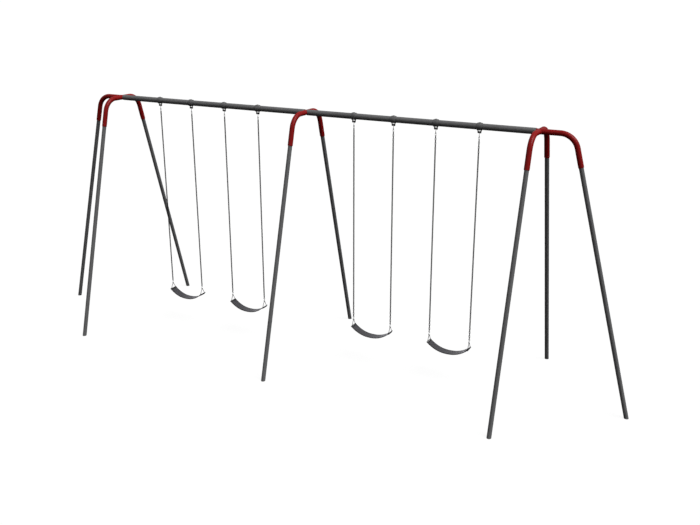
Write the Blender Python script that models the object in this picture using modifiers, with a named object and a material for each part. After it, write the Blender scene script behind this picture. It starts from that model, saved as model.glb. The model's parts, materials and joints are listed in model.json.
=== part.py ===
"""Tripod swing set with two bays and four belt seats.

Metres, +Z up. The origin is on the ground under the middle of the top rail, +X runs along
the rail to the right and -Y is the front.
"""

import math

import bmesh
import bpy
from mathutils import Matrix, Vector

OBJECT_NAME = "tripod_swing_set"

# Driving dimensions of the frame
RAIL_HEIGHT = 3.658
END_FRAME_X = 3.418
MIDDLE_FRAME_X = 0.032
RAIL_DIAMETER = 0.083
RAIL_WALL = 0.0055
RAIL_END_TO_HUB = 0.040
RAIL_RIM_TO_MIDDLE = 0.023
STUB_WALL = 0.006
STUB_LENGTH = 0.220
YOKE_WALL = 0.00575
SIDE_ARM_REACH = 0.344
OUTER_ARM_REACH = 0.445
BEND_RADIUS = 0.235
SLEEVE_DROP = 0.406
LEG_DIAMETER = 0.0603
LEG_WALL = 0.0039
LEG_TILT = math.radians(15)
LEG_INSERTION = 0.200

# Driving dimensions of the hangers
CHAIN_SPACING = 0.607
INNER_SWING_X = 1.104
SWING_PITCH = 1.227
COLLAR_WIDTH = 0.064
COLLAR_WALL = 0.0085
COLLAR_CHAMFER = 0.0034
BOSS_RADIUS = 0.015
BOSS_HEIGHT = 0.004
BAIL_WIRE = 0.012
BAIL_SPAN = 0.045
BAIL_DROP = 0.073
BAIL_CORNER = 0.008
BOBBIN_DIAMETER = 0.030
BOBBIN_GROOVE = 0.012

# Driving dimensions of the hooks, chains and triangles
HOOK_WIRE = 0.0071
UPPER_HOOK_SPACING = 0.059
LOWER_HOOK_SPACING = 0.046
HOOK_MOUTH = 0.0009
LINK_WIRE = 0.0056
LINK_COAT = 0.0007
LINK_INNER_LENGTH = 0.0302
LINK_INNER_WIDTH = 0.0094
COATED_DIAMETER = 0.014
TRIANGLE_WIRE = 0.008
TRIANGLE_BASE = 0.128
TRIANGLE_HEIGHT = 0.097
TRIANGLE_CORNER = 0.009

# Driving dimensions of the belt seats
BELT_LOW_Z = 0.408
BELT_SAG = 0.122
BELT_CURVE_POWER = 2.26
BELT_WIDTH = 0.140
BELT_THICKNESS = 0.010
BELT_OVERHANG = 0.009

# Clearances
TUBE_SLIP = 0.0006
ARM_STEP = 0.0003
SEAT_GAP = 0.0003
SLOT_PLAY = 0.0006

# How far a piece runs into the one that it is joined to
BAIL_ROOT = 0.003
LINK_ROOT = 0.0035

# Facets
TUBE_SIDES = 16
BORE_SIDES = 12
RAIL_SIDES = 20
WIRE_SIDES = 6
BAIL_SIDES = 8
COATED_SIDES = 8
BEND_STEPS = 5
CORNER_STEPS = 3
EYE_STEPS = 7
LINK_STEPS = 2
BELT_STATIONS = 14
LEG_SAMPLES = 8
EYE_SIDES = 9
WELD_DISTANCE = 0.00005


def round_radius(radius, sides):
    """The corner radius of a many-sided tube or hole whose flats lie at this radius."""
    return radius / math.cos(math.pi / sides)


# Sizes worked out from the driving dimensions
RAIL_RADIUS = RAIL_DIAMETER / 2
RAIL_BORE = RAIL_RADIUS - RAIL_WALL
LEG_RADIUS = LEG_DIAMETER / 2
YOKE_RADIUS = LEG_RADIUS + TUBE_SLIP + YOKE_WALL
SLEEVE_BORE = round_radius(LEG_RADIUS + TUBE_SLIP, BORE_SIDES)
STUB_RADIUS = round_radius(RAIL_BORE - SEAT_GAP, RAIL_SIDES)
BAIL_RADIUS = BAIL_WIRE / 2
BOBBIN_RADIUS = BOBBIN_DIAMETER / 2
HOOK_RADIUS = HOOK_WIRE / 2
EYE_RADIUS = BAIL_RADIUS + SEAT_GAP + HOOK_RADIUS
BARE_RADIUS = LINK_WIRE / 2
COATED_LINK_RADIUS = BARE_RADIUS + LINK_COAT
TRIANGLE_RADIUS = TRIANGLE_WIRE / 2
PIVOT_Z = RAIL_HEIGHT - BAIL_DROP
UPPER_HOOK_END_Z = PIVOT_Z - UPPER_HOOK_SPACING - EYE_RADIUS
CHAIN_OFFSET = CHAIN_SPACING / 2
BELT_HALF = CHAIN_OFFSET + BELT_OVERHANG
GROUND_BOX = 8 * LEG_DIAMETER
SLOT_CUT = 8 * BELT_THICKNESS

FRONT = Vector((0, -1, 0))
REAR = Vector((0, 1, 0))
LEFT = Vector((-1, 0, 0))
RIGHT = Vector((1, 0, 0))
UP = Vector((0, 0, 1))

MATERIALS = {
    "leg_grey": ((0.105, 0.105, 0.110), 0.45, 0.0),
    "yoke_red": ((0.230, 0.008, 0.010), 0.35, 0.0),
    "hanger_grey": ((0.060, 0.060, 0.063), 0.45, 0.3),
    "galvanised": ((0.560, 0.570, 0.580), 0.40, 1.0),
    "chain_coat": ((0.085, 0.085, 0.090), 0.60, 0.0),
    "belt_rubber": ((0.060, 0.057, 0.065), 0.70, 0.0),
}


def clear_scene():
    for obj in list(bpy.data.objects):
        bpy.data.objects.remove(obj, do_unlink=True)


def new_collection(name):
    collection = bpy.data.collections.new(name)
    bpy.context.scene.collection.children.link(collection)
    return collection


def make_material(name):
    colour, roughness, metallic = MATERIALS[name]
    material = bpy.data.materials.new(name)
    material.use_nodes = True
    shader = material.node_tree.nodes["Principled BSDF"]
    shader.inputs["Base Color"].default_value = (*colour, 1)
    shader.inputs["Roughness"].default_value = roughness
    shader.inputs["Metallic"].default_value = metallic
    material.diffuse_color = (*colour, 1)
    return material


def add_object(name, mesh, collection):
    obj = bpy.data.objects.new(name, mesh)
    collection.objects.link(obj)
    return obj


def add_cutter(name, mesh):
    obj = add_object(name, mesh, CUTTERS)
    obj.hide_render = True
    obj.display_type = "WIRE"
    return obj


def finish_piece(obj, material, parent):
    obj.data.materials.clear()
    obj.data.materials.append(make_material(material))
    obj.data.shade_smooth()
    obj.data.set_sharp_from_angle(angle=math.radians(40))
    place = obj.matrix_world.copy()
    obj.parent = parent
    obj.matrix_parent_inverse = parent.matrix_world.inverted()
    obj.matrix_world = place
    return obj


def add_empty(name, place):
    empty = bpy.data.objects.new(name, None)
    empty.empty_display_size = 0.1
    empty.location = place
    MODEL.objects.link(empty)
    bpy.context.view_layer.update()
    return empty


def boolean(obj, other, operation):
    modifier = obj.modifiers.new(f"{operation.lower()} {other.name}", "BOOLEAN")
    modifier.operation = operation
    modifier.object = other
    modifier.solver = "EXACT"


def filleted_path(corners, radii, steps, closed=False):
    """Points along straight runs joined by arcs, one radius for each corner."""
    points = []
    count = len(corners)
    for i, corner in enumerate(corners):
        if not closed and i in (0, count - 1):
            points.append(corner.copy())
            continue
        before = (corners[i - 1] - corner).normalized()
        after = (corners[(i + 1) % count] - corner).normalized()
        half = before.angle(after) / 2
        centre = corner + (before + after).normalized() * radii[i] / math.sin(half)
        start = corner + before * radii[i] / math.tan(half) - centre
        turn = math.pi - 2 * half
        axis = start.cross(-before).normalized()
        for step in range(steps + 1):
            points.append(centre + Matrix.Rotation(turn * step / steps, 3, axis) @ start)
    return points


def tube_mesh(name, points, radius, sides, closed=False):
    """The mesh of a round bar along these points, its ends capped."""
    curve = bpy.data.curves.new(name, "CURVE")
    curve.dimensions = "3D"
    curve.bevel_depth = radius
    curve.bevel_resolution = (sides - 4) // 2
    curve.use_fill_caps = not closed
    spline = curve.splines.new("POLY")
    spline.points.add(len(points) - 1)
    for spline_point, point in zip(spline.points, points):
        spline_point.co = (*point, 1)
    spline.use_cyclic_u = closed
    holder = add_object(name, curve, CUTTERS)
    graph = bpy.context.evaluated_depsgraph_get()
    mesh = bpy.data.meshes.new_from_object(holder.evaluated_get(graph))
    bpy.data.objects.remove(holder, do_unlink=True)
    shape = bmesh.new()
    shape.from_mesh(mesh)
    bmesh.ops.remove_doubles(shape, verts=shape.verts, dist=WELD_DISTANCE)
    bmesh.ops.recalc_face_normals(shape, faces=shape.faces)
    shape.to_mesh(mesh)
    shape.free()
    return mesh


def cylinder_mesh(name, start, end, radius, sides):
    """A cylinder between two points."""
    axis = end - start
    shape = bmesh.new()
    bmesh.ops.create_cone(
        shape, cap_ends=True, segments=sides, radius1=radius, radius2=radius, depth=axis.length
    )
    turn = UP.rotation_difference(axis).to_matrix().to_4x4()
    bmesh.ops.transform(shape, matrix=Matrix.Translation((start + end) / 2) @ turn, verts=shape.verts)
    mesh = bpy.data.meshes.new(name)
    shape.to_mesh(mesh)
    shape.free()
    return mesh


def box_mesh(name, size, centre):
    shape = bmesh.new()
    bmesh.ops.create_cube(shape, size=1)
    bmesh.ops.scale(shape, vec=size, verts=shape.verts)
    bmesh.ops.translate(shape, vec=centre, verts=shape.verts)
    mesh = bpy.data.meshes.new(name)
    shape.to_mesh(mesh)
    shape.free()
    return mesh


# Yokes and legs

def hub(x):
    return Vector((x, 0, RAIL_HEIGHT))


def leg_direction(outward):
    """Down along a leg that leans outward."""
    return outward * math.sin(LEG_TILT) - UP * math.cos(LEG_TILT)


def arm_corner(x, outward, reach):
    return hub(x) + outward * reach


def sleeve_end(x, outward, reach, extra=0.0):
    along = SLEEVE_DROP / math.cos(LEG_TILT) + extra
    return arm_corner(x, outward, reach) + leg_direction(outward) * along


def side_arm_path(x, extra=0.0):
    """From the front sleeve's end over the hub to the rear sleeve's end."""
    corners = [
        sleeve_end(x, FRONT, SIDE_ARM_REACH, extra),
        arm_corner(x, FRONT, SIDE_ARM_REACH),
        arm_corner(x, REAR, SIDE_ARM_REACH),
        sleeve_end(x, REAR, SIDE_ARM_REACH, extra),
    ]
    return filleted_path(corners, [0, BEND_RADIUS, BEND_RADIUS, 0], BEND_STEPS)


def outer_arm_path(x, outward, extra=0.0):
    """From the hub to the outer sleeve's end."""
    corners = [
        hub(x),
        arm_corner(x, outward, OUTER_ARM_REACH),
        sleeve_end(x, outward, OUTER_ARM_REACH, extra),
    ]
    return filleted_path(corners, [0, BEND_RADIUS, 0], BEND_STEPS)


def make_yoke(name, x, stub_sides, outward=None):
    """A bent tube over the hub, a stub for each rail that meets it and, on a tripod, an outer arm.

    The arm and its bore are a hair thinner than the tube and bore that they run into.
    """
    yoke = add_object(name, tube_mesh(name, side_arm_path(x), YOKE_RADIUS, TUBE_SIDES), MODEL)
    past = YOKE_RADIUS
    bores = [tube_mesh(f"{name}_side_bore", side_arm_path(x, past), SLEEVE_BORE, BORE_SIDES)]
    if outward is not None:
        arm_radius = YOKE_RADIUS - ARM_STEP
        arm = tube_mesh(f"{name}_arm", outer_arm_path(x, outward), arm_radius, TUBE_SIDES)
        boolean(yoke, add_cutter(f"{name}_arm", arm), "UNION")
        bore_path = outer_arm_path(x, outward, past)
        bores.append(tube_mesh(f"{name}_arm_bore", bore_path, SLEEVE_BORE - ARM_STEP, BORE_SIDES))
    for side in stub_sides:
        end = hub(x) + side * STUB_LENGTH
        stub = cylinder_mesh(f"{name}_stub", hub(x), end, STUB_RADIUS, RAIL_SIDES)
        boolean(yoke, add_cutter(f"{name}_stub", stub), "UNION")
        bore_end = end + side * past
        bores.append(
            cylinder_mesh(f"{name}_stub_bore", hub(x), bore_end, STUB_RADIUS - STUB_WALL, BORE_SIDES)
        )
    for bore in bores:
        boolean(yoke, add_cutter(bore.name, bore), "DIFFERENCE")
    return finish_piece(yoke, "yoke_red", FRAME)


def make_leg(name, x, outward, reach):
    """A pipe from the ground up into its sleeve."""
    down = leg_direction(outward)
    top = sleeve_end(x, outward, reach, -LEG_INSERTION)
    length = (top.z + LEG_DIAMETER) / math.cos(LEG_TILT)
    foot = top + down * length
    leg = add_object(name, cylinder_mesh(name, top, foot, LEG_RADIUS, TUBE_SIDES), MODEL)
    bore = cylinder_mesh(
        f"{name}_bore", top - down * LEG_RADIUS, foot + down * LEG_RADIUS, LEG_RADIUS - LEG_WALL, BORE_SIDES
    )
    boolean(leg, add_cutter(f"{name}_bore", bore), "DIFFERENCE")
    size = (GROUND_BOX, GROUND_BOX, GROUND_BOX)
    ground = box_mesh(f"{name}_ground", size, (foot.x, foot.y, -GROUND_BOX / 2))
    boolean(leg, add_cutter(f"{name}_ground", ground), "DIFFERENCE")
    return finish_piece(leg, "leg_grey", FRAME)


# Top rails

def make_rail(name, start_x, end_x):
    start = hub(start_x)
    end = hub(end_x)
    rail = add_object(name, cylinder_mesh(name, start, end, RAIL_RADIUS, RAIL_SIDES), MODEL)
    past = (end - start).normalized() * RAIL_RADIUS
    bore = cylinder_mesh(
        f"{name}_bore", start - past, end + past, round_radius(RAIL_BORE, RAIL_SIDES), RAIL_SIDES
    )
    boolean(rail, add_cutter(f"{name}_bore", bore), "DIFFERENCE")
    reach = Vector((0, RAIL_DIAMETER, 0))
    middle = hub(MIDDLE_FRAME_X)
    cope_radius = round_radius(YOKE_RADIUS + SEAT_GAP, RAIL_SIDES)
    cope = cylinder_mesh(f"{name}_cope", middle - reach, middle + reach, cope_radius, RAIL_SIDES)
    boolean(rail, add_cutter(f"{name}_cope", cope), "DIFFERENCE")
    return finish_piece(rail, "leg_grey", FRAME)


# Hangers, hooks, chains and triangles

def ring_mesh(name, centre, inner, outer, width, chamfer):
    """A turned ring about the rail's axis, with chamfered outer edges."""
    half = width / 2
    profile = [
        (-half, inner),
        (half, inner),
        (half, outer - chamfer),
        (half - chamfer, outer),
        (chamfer - half, outer),
        (-half, outer - chamfer),
    ]
    shape = bmesh.new()
    corners = [shape.verts.new((x, 0, z)) for x, z in profile]
    edges = [shape.edges.new((corners[i - 1], corners[i])) for i in range(len(corners))]
    bmesh.ops.spin(
        shape,
        geom=corners + edges,
        cent=(0, 0, 0),
        axis=(1, 0, 0),
        angle=2 * math.pi,
        steps=TUBE_SIDES,
        use_merge=True,
    )
    bmesh.ops.recalc_face_normals(shape, faces=shape.faces)
    bmesh.ops.translate(shape, vec=centre, verts=shape.verts)
    mesh = bpy.data.meshes.new(name)
    shape.to_mesh(mesh)
    shape.free()
    return mesh


def make_hanger(name, x):
    """A cast collar on the rail, with a set bolt's boss on top and a bail below.

    The bail's bar is a bobbin, whose groove keeps the hook in the middle.
    """
    inner = round_radius(RAIL_RADIUS + SEAT_GAP, TUBE_SIDES)
    outer = RAIL_RADIUS + COLLAR_WALL
    ring = ring_mesh(name, hub(x), inner, outer, COLLAR_WIDTH, COLLAR_CHAMFER)
    hanger = add_object(name, ring, MODEL)
    boss_foot = hub(x) + UP * (outer - COLLAR_WALL / 2)
    boss_top = hub(x) + UP * (outer + BOSS_HEIGHT)
    boss = cylinder_mesh(f"{name}_boss", boss_foot, boss_top, BOSS_RADIUS, BORE_SIDES)
    boolean(hanger, add_cutter(f"{name}_boss", boss), "UNION")
    half = RIGHT * BAIL_SPAN / 2
    root = hub(x) - UP * (inner + BAIL_ROOT)
    bar = Vector((x, 0, PIVOT_Z))
    path = filleted_path(
        [root - half, bar - half, bar + half, root + half], [0, BAIL_CORNER, BAIL_CORNER, 0], CORNER_STEPS
    )
    bail = tube_mesh(f"{name}_bail", path, BAIL_RADIUS, BAIL_SIDES)
    boolean(hanger, add_cutter(f"{name}_bail", bail), "UNION")
    for label, side in (("left", LEFT), ("right", RIGHT)):
        flange = cylinder_mesh(
            f"{name}_{label}_flange",
            bar + side * BOBBIN_GROOVE / 2,
            bar + side * BAIL_SPAN / 2,
            BOBBIN_RADIUS,
            BORE_SIDES,
        )
        boolean(hanger, add_cutter(f"{name}_{label}_flange", flange), "UNION")
    return finish_piece(hanger, "hanger_grey", FRAME)


def hook_path(upper, across, spacing):
    """An S in the plane of across and up, its upper eye centred on this point."""
    eye = round_radius(EYE_RADIUS, EYE_SIDES)
    lean = math.asin(2 * eye / spacing)
    clear = math.acos(1 - (HOOK_WIRE + HOOK_MOUTH) / eye)
    tip = 2 * math.pi - clear - lean
    points = []
    for step in range(EYE_STEPS + 1):
        angle = tip + (-lean - tip) * step / EYE_STEPS
        points.append(upper + (across * math.cos(angle) + UP * math.sin(angle)) * eye)
    middle = upper - UP * spacing / 2
    return points + [2 * middle - point for point in reversed(points)]


def make_hook(name, upper, across, spacing, parent):
    mesh = tube_mesh(name, hook_path(upper, across, spacing), HOOK_RADIUS, WIRE_SIDES)
    return finish_piece(add_object(name, mesh, MODEL), "galvanised", parent)


def link_path(centre, across, length):
    """A chain link's centre line, as long as this between its end wires' centres."""
    radius = (LINK_INNER_WIDTH + LINK_WIRE) / 2
    corners = []
    for up, side in ((1, -1), (1, 1), (-1, 1), (-1, -1)):
        corners.append(centre + UP * up * length / 2 + across * side * radius)
    return filleted_path(corners, [radius - WELD_DISTANCE / 4] * 4, LINK_STEPS, closed=True)


def make_chain(name, x, parent):
    """A bare top link, the coated links as one bar, and the last coated link."""
    top = UPPER_HOOK_END_Z + HOOK_RADIUS + SEAT_GAP + BARE_RADIUS
    bottom = LOWER_EYE_Z + EYE_RADIUS - HOOK_RADIUS - SEAT_GAP - COATED_LINK_RADIUS
    length = LINK_INNER_LENGTH + LINK_WIRE
    first = Vector((x, 0, top - length / 2))
    last = Vector((x, 0, bottom + length / 2))
    start = Vector((x, 0, top - length + LINK_ROOT))
    end = Vector((x, 0, bottom + length - LINK_ROOT))
    coated = cylinder_mesh(name, end, start, COATED_DIAMETER / 2, COATED_SIDES)
    chain = add_object(name, coated, MODEL)
    top_link = tube_mesh(f"{name}_top", link_path(first, RIGHT, length), BARE_RADIUS, WIRE_SIDES, True)
    boolean(chain, add_cutter(f"{name}_top", top_link), "UNION")
    last_link = tube_mesh(
        f"{name}_last", link_path(last, REAR, length), COATED_LINK_RADIUS, WIRE_SIDES, True
    )
    boolean(chain, add_cutter(f"{name}_last", last_link), "UNION")
    return finish_piece(chain, "chain_coat", parent)


# Belt seats and their triangles

def belt_height(offset):
    """The belt's centre line above the ground, at this distance from the seat's middle."""
    return BELT_LOW_Z + BELT_SAG * abs(offset / BELT_HALF) ** BELT_CURVE_POWER


BELT_LEAN = math.atan(BELT_CURVE_POWER * (belt_height(CHAIN_OFFSET) - BELT_LOW_Z) / CHAIN_OFFSET)
TRIANGLE_BASE_Z = (
    belt_height(CHAIN_OFFSET)
    - (BELT_THICKNESS / 2 + SEAT_GAP + TRIANGLE_RADIUS) / math.cos(BELT_LEAN)
)
TILT_Z = TRIANGLE_BASE_Z + TRIANGLE_HEIGHT
LOWER_EYE_Z = TILT_Z + EYE_RADIUS + LOWER_HOOK_SPACING


def triangle_path(x):
    """Round the hook's bottom wire at the apex and under the belt at the base."""
    half = TRIANGLE_BASE / 2
    apex_radius = round_radius(HOOK_RADIUS + SEAT_GAP + TRIANGLE_RADIUS, EYE_SIDES)
    reach = math.hypot(half, TRIANGLE_HEIGHT)
    rise = math.atan2(TRIANGLE_HEIGHT, half) + math.asin(apex_radius / reach)
    corners = [
        Vector((x, 0, TRIANGLE_BASE_Z + half * math.tan(rise))),
        Vector((x, half, TRIANGLE_BASE_Z)),
        Vector((x, -half, TRIANGLE_BASE_Z)),
    ]
    return filleted_path(corners, [apex_radius, TRIANGLE_CORNER, TRIANGLE_CORNER], CORNER_STEPS, True)


def make_triangle(name, x, parent):
    mesh = tube_mesh(name, triangle_path(x), TRIANGLE_RADIUS, WIRE_SIDES, closed=True)
    return finish_piece(add_object(name, mesh, MODEL), "galvanised", parent)


def slot_mesh(name, x, side):
    """The slot that one leg of the triangle passes through, on this side of the belt."""
    middle = belt_height(CHAIN_OFFSET)
    touching = (BELT_THICKNESS / 2 + TRIANGLE_RADIUS) / math.cos(BELT_LEAN)
    path = triangle_path(x)
    crossings = []
    for i, point in enumerate(path):
        after = path[(i + 1) % len(path)]
        for part in range(LEG_SAMPLES + 1):
            place = point.lerp(after, part / LEG_SAMPLES)
            if abs(place.z - middle) <= touching and place.y > 0:
                crossings.append(place.y)
    centre = (max(crossings) + min(crossings)) / 2
    stretch = (max(crossings) - min(crossings)) / 2
    radius = round_radius(TRIANGLE_RADIUS + SLOT_PLAY, BORE_SIDES)
    shape = bmesh.new()
    bmesh.ops.create_cone(
        shape, cap_ends=True, segments=BORE_SIDES, radius1=radius, radius2=radius, depth=SLOT_CUT
    )
    half_side = Matrix.Rotation(math.pi / BORE_SIDES, 3, "Z")
    bmesh.ops.rotate(shape, matrix=half_side, verts=shape.verts)
    for vertex in shape.verts:
        vertex.co.y += math.copysign(stretch, vertex.co.y)
    bmesh.ops.translate(shape, vec=(x, side * centre, middle), verts=shape.verts)
    mesh = bpy.data.meshes.new(name)
    shape.to_mesh(mesh)
    shape.free()
    return mesh


def make_belt(name, x, parent):
    """A rubber belt that sags between its two triangles."""
    shape = bmesh.new()
    bmesh.ops.create_grid(shape, x_segments=BELT_STATIONS, y_segments=1, size=0.5)
    for vertex in shape.verts:
        offset = 2 * BELT_HALF * vertex.co.x
        vertex.co = Vector((offset, BELT_WIDTH * vertex.co.y, belt_height(offset)))
    mesh = bpy.data.meshes.new(name)
    shape.to_mesh(mesh)
    shape.free()
    belt = add_object(name, mesh, MODEL)
    belt.location = (x, 0, 0)
    wall = belt.modifiers.new("belt thickness", "SOLIDIFY")
    wall.thickness = BELT_THICKNESS
    wall.offset = 0
    wall.use_even_offset = True
    bpy.context.view_layer.update()
    for end in (-1, 1):
        for side in (-1, 1):
            label = f"{name}_slot_{end}_{side}"
            boolean(belt, add_cutter(label, slot_mesh(label, x + end * CHAIN_OFFSET, side)), "DIFFERENCE")
    return finish_piece(belt, "belt_rubber", parent)


def make_swing(number, x):
    """One swing: its hangers on the frame, and what swings and tilts below them."""
    pivot = add_empty(f"swing_{number}_axis", (x, 0, PIVOT_Z))
    tilt = add_empty(f"seat_{number}_axis", (x, 0, TILT_Z))
    tilt.parent = pivot
    tilt.matrix_parent_inverse = pivot.matrix_world.inverted()
    bpy.context.view_layer.update()
    for end, side in (("left", -1), ("right", 1)):
        place = x + side * CHAIN_OFFSET
        make_hanger(f"hanger_{number}_{end}", place)
        upper_eye = Vector((place, 0, PIVOT_Z))
        make_hook(f"upper_hook_{number}_{end}", upper_eye, REAR, UPPER_HOOK_SPACING, pivot)
        make_chain(f"chain_{number}_{end}", place, pivot)
        lower_eye = Vector((place, 0, LOWER_EYE_Z))
        make_hook(f"lower_hook_{number}_{end}", lower_eye, RIGHT, LOWER_HOOK_SPACING, pivot)
        make_triangle(f"triangle_{number}_{end}", place, tilt)
    make_belt(f"belt_seat_{number}", x, tilt)


clear_scene()
MODEL = new_collection(OBJECT_NAME)
CUTTERS = new_collection("cutters")
FRAME = add_empty("frame", (0, 0, 0))

make_yoke("yoke_left", -END_FRAME_X, [RIGHT], LEFT)
make_yoke("yoke_middle", MIDDLE_FRAME_X, [LEFT, RIGHT])
make_yoke("yoke_right", END_FRAME_X, [LEFT], RIGHT)

for place, frame_x in (("left", -END_FRAME_X), ("middle", MIDDLE_FRAME_X), ("right", END_FRAME_X)):
    make_leg(f"leg_{place}_front", frame_x, FRONT, SIDE_ARM_REACH)
    make_leg(f"leg_{place}_rear", frame_x, REAR, SIDE_ARM_REACH)
make_leg("leg_left_outer", -END_FRAME_X, LEFT, OUTER_ARM_REACH)
make_leg("leg_right_outer", END_FRAME_X, RIGHT, OUTER_ARM_REACH)

make_rail("rail_left", RAIL_END_TO_HUB - END_FRAME_X, MIDDLE_FRAME_X - RAIL_RIM_TO_MIDDLE)
make_rail("rail_right", MIDDLE_FRAME_X + RAIL_RIM_TO_MIDDLE, END_FRAME_X - RAIL_END_TO_HUB)

outer_swing_x = INNER_SWING_X + SWING_PITCH
for swing_number, swing_x in enumerate((-outer_swing_x, -INNER_SWING_X, INNER_SWING_X, outer_swing_x), 1):
    make_swing(swing_number, swing_x)

bpy.context.view_layer.update()
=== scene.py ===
"""Looks of the tripod swing set: fine round tubes, real chain links, fasteners and finishes.

Metres, +Z up. The origin is on the ground under the top rail's middle, +X is to the right and
-Y to the front. Angles are in radians.
"""

import json
import math

import bmesh
import bpy
from mathutils import Matrix, Vector


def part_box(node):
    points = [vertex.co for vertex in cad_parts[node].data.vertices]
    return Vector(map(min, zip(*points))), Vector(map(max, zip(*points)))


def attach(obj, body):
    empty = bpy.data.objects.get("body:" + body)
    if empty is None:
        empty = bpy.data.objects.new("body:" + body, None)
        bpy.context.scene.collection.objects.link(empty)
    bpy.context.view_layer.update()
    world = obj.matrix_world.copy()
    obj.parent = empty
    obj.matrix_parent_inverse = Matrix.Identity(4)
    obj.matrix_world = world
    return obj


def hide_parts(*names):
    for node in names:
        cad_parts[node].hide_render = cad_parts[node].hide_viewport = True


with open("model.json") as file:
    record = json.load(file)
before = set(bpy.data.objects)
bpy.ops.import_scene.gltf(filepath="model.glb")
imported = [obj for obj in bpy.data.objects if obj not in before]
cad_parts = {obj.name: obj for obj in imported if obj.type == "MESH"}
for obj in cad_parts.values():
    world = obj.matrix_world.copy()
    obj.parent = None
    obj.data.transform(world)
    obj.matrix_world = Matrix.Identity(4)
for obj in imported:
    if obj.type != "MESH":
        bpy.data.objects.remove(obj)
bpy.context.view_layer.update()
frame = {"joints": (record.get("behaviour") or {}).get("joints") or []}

FRONT = Vector((0, -1, 0))
REAR = Vector((0, 1, 0))
LEFT = Vector((-1, 0, 0))
RIGHT = Vector((1, 0, 0))
UP = Vector((0, 0, 1))


def node_centre(node):
    low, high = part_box(node)
    return (low + high) / 2


def node_size(node):
    low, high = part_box(node)
    return high - low


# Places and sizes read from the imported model
JOINTS = {joint["name"]: joint for joint in frame["joints"]}
SWING_X = {n: JOINTS[f"swing_{n}_pivot"]["pos_m"][0] for n in (1, 2, 3, 4)}
PIVOT_Z = JOINTS["swing_1_pivot"]["pos_m"][2]
TILT_Z = JOINTS["seat_1_tilt"]["pos_m"][2]
CHAIN_OFFSET = (node_centre("chain_1_right").x - node_centre("chain_1_left").x) / 2
FRAME_X = {place: node_centre(f"leg_{place}_front").x for place in ("left", "middle", "right")}
RAIL_Z = node_centre("rail_left").z
RAIL_RADIUS = node_size("rail_left").z / 2
RAIL_OUTER_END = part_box("rail_right")[1].x
RAIL_INNER_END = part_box("rail_right")[0].x - FRAME_X["middle"]
YOKE_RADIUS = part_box("yoke_middle")[1].z - RAIL_Z
LEG_RADIUS = node_size("leg_middle_front").x / 2
COLLAR_WIDTH = node_size("hanger_1_left").x
BOSS_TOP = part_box("hanger_1_left")[1].z - RAIL_Z
BELT_WIDTH = node_size("belt_seat_1").y
BELT_SURFACE_LOW_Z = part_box("belt_seat_1")[0].z

# Tubes of the frame
RAIL_WALL = 0.0055
YOKE_WALL = 0.00575
LEG_WALL = 0.0039
STUB_WALL = 0.006
STUB_LENGTH = 0.220
FIT = 0.0003
SIDE_ARM_REACH = 0.344
OUTER_ARM_REACH = 0.445
BEND_RADIUS = 0.235
BEND_STEPS = 20
SLEEVE_DROP = 0.406
LEG_INSERTION = 0.200
LEG_TILT = math.radians(15)
LIP = 0.0008
RIM_BAND = 0.004
TUBE_SIDES = 64
BEAD_RADIUS = 0.0032
BEAD_RIPPLE = 0.0005
BEAD_RIPPLES = 38
RIPPLE_STEPS = 4
BEAD_SIDES = 10

# Bolts of the frame
HEX_SIDES = 6
HEX_HALF_SIDE = math.pi / HEX_SIDES
BOLT_FLAT_RADIUS = 0.0080
BOLT_HEAD = 0.0065
BOLT_CHAMFER_START = 0.85
BOLT_CHAMFER_SIZE = 0.86
WASHER_RADIUS = 0.0115
WASHER_HEIGHT = 0.0018
WASHER_EDGE = 0.0005
WASHER_SIDES = 32
SLEEVE_BOLT_RAISE = 0.060
RAIL_BOLT_INSET = 0.090

# Hangers
COLLAR_WALL = 0.0085
COLLAR_OUTER = RAIL_RADIUS + COLLAR_WALL
COLLAR_EDGE = 0.0034
COLLAR_EDGE_STEPS = 4
BOSS_SINK = 0.003
BOSS_FOOT_RADIUS = 0.017
BOSS_TOP_RADIUS = 0.0145
BOSS_EDGE = 0.0015
BAIL_RADIUS = 0.006
BAIL_SPAN = 0.045
BAIL_CORNER = 0.008
BAIL_SINK = 0.004
BAIL_SIDES = 20
BOBBIN_RADIUS = 0.015
BOBBIN_GROOVE = 0.012
BOBBIN_SINK = 0.001
GROOVE_EDGE = 0.0025
BOBBIN_EDGE = 0.002
CASTING_SIDES = 40
ROOT_RADIUS = 0.0022
ROOT_DROP = 0.0005
ROOT_STEPS = 24
SCREW_RADIUS = 0.0075
SCREW_HOLE_DEPTH = 0.005
SCREW_HOLE_CHAMFER = (0.0006, 0.001)
SCREW_TOP_DEPTH = 0.0014
SCREW_LOW_DEPTH = 0.0085
SCREW_CHAMFER = 0.0006
SCREW_SIDES = 36
SOCKET_RADIUS = 0.0046
SOCKET_DEPTH = 0.006

# Hooks, chains and triangles
HOOK_RADIUS = 0.00355
HOOK_EYE_RADIUS = BAIL_RADIUS + FIT + HOOK_RADIUS
UPPER_HOOK_SPACING = 0.059
LOWER_HOOK_SPACING = 0.046
HOOK_MOUTH = 0.0009
HOOK_TIP = 0.0008
EYE_STEPS = 22
WIRE_SIDES = 14
LINK_RADIUS = 0.0028
LINK_COAT = 0.0007
DIP_THICKNESS = 0.0017
LINK_LENGTH = 0.0358
LINK_WIDTH = 0.0150
LINK_SIDES = 8
LINK_STEPS = 5
LINK_CROWN_POWER = 4
CHAIN_TWIST = math.radians(-14)
CHAIN_TWIST_RATE = math.radians(-4)
TWIST_LINKS = 10
TRIANGLE_RADIUS = 0.004
TRIANGLE_BASE = 0.128
TRIANGLE_HEIGHT = 0.097
TRIANGLE_BASE_Z = TILT_Z - TRIANGLE_HEIGHT
TRIANGLE_CORNER = 0.009
CORNER_STEPS = 10
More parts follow.
